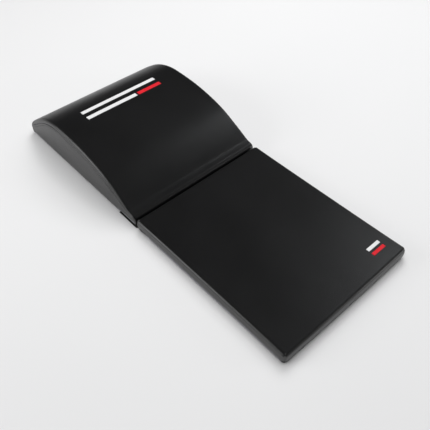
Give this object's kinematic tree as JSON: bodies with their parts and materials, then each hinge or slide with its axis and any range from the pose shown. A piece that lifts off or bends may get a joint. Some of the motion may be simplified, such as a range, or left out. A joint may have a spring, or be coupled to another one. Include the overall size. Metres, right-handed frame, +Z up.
{
  "type": "sit-up wedge with fold-out mat",
  "caption": "Padded sit-up support: a curved lumbar wedge with a flat tail mat that folds under it, in black vinyl over foam.",
  "frame": {"origin": "centre of the footprint on the floor; the fold line runs along X, 6 mm towards -Y from it", "axes": "+Z up, +Y from the mat towards the thick end of the wedge, +X across the width (right-hand side seen from the mat's foot end)"},
  "size_m": [0.3753, 0.9088, 0.1085],
  "materials": {
    "black_vinyl": "satin",
    "base_fabric": "matte",
    "foam": "matte",
    "webbing": "matte",
    "loop_tape": "matte",
    "hook_tape": "matte",
    "thread": "matte",
    "zip_coil": "satin",
    "zip_metal": "satin",
    "white_film": "satin",
    "red_film": "satin"
  },
  "bodies": {
    "wedge": {"wedge_foam_core": "foam", "wedge_top_cover": "black_vinyl", "wedge_left_side_panel": "black_vinyl", "wedge_right_side_panel": "black_vinyl", "wedge_base_panel": "base_fabric", "wedge_left_topstitch": "thread", "wedge_right_topstitch": "thread", "wedge_print_white_long": "white_film", "wedge_print_white_short": "white_film", "wedge_print_red": "red_film", "wedge_loop_tape": "loop_tape", "flap_hook_tape": "hook_tape", "flap_strip": "webbing", "wedge_zip_upper_tape": "webbing", "wedge_zip_lower_tape": "webbing", "wedge_zip_upper_teeth": "zip_coil", "wedge_zip_lower_teeth": "zip_coil", "wedge_zip_open_end_stop": "zip_metal", "wedge_zip_closed_end_stop": "zip_metal"},
    "mat": {"mat_foam_core": "foam", "mat_top_cover": "black_vinyl", "mat_base_panel": "base_fabric", "flap_hem": "webbing", "mat_seam_thread": "thread", "mat_corner_seam_front_left": "thread", "mat_corner_seam_front_right": "thread", "mat_corner_seam_back_left": "thread", "mat_corner_seam_back_right": "thread", "mat_print_white": "white_film", "mat_print_red": "red_film", "mat_zip_upper_tape": "webbing", "mat_zip_lower_tape": "webbing", "mat_zip_upper_teeth": "zip_coil", "mat_zip_lower_teeth": "zip_coil", "mat_zip_open_end_stop": "zip_metal", "mat_zip_closed_end_stop": "zip_metal"},
    "wedge_slider": {"wedge_zip_slider": "zip_metal"},
    "wedge_pull": {"wedge_zip_pull": "zip_metal"},
    "mat_slider": {"mat_zip_slider": "zip_metal"},
    "mat_pull": {"mat_zip_pull": "zip_metal"}
  },
  "joints": [
    {"name": "mat_fold", "type": "hinge", "parent": "wedge", "child": "mat", "pos_m": [0, -0.006, -0.0002], "axis": [1, 0, 0], "range_deg": [0, 180]},
    {"name": "wedge_zip_slide", "type": "slide", "parent": "wedge", "child": "wedge_slider", "axis": [-1, 0, 0], "range_m": [0, 0.283]},
    {"name": "wedge_pull_swing", "type": "hinge", "parent": "wedge_slider", "child": "wedge_pull", "pos_m": [0.1415, 0.4549, 0.0125], "axis": [0, 0, -1], "range_deg": [0, 170]},
    {"name": "mat_zip_slide", "type": "slide", "parent": "mat", "child": "mat_slider", "axis": [0, 1, 0], "range_m": [0, 0.283]},
    {"name": "mat_pull_swing", "type": "hinge", "parent": "mat_slider", "child": "mat_pull", "pos_m": [0.1884, -0.3715, 0.0125], "axis": [0, 0, -1], "range_deg": [0, 170]}
  ]
}
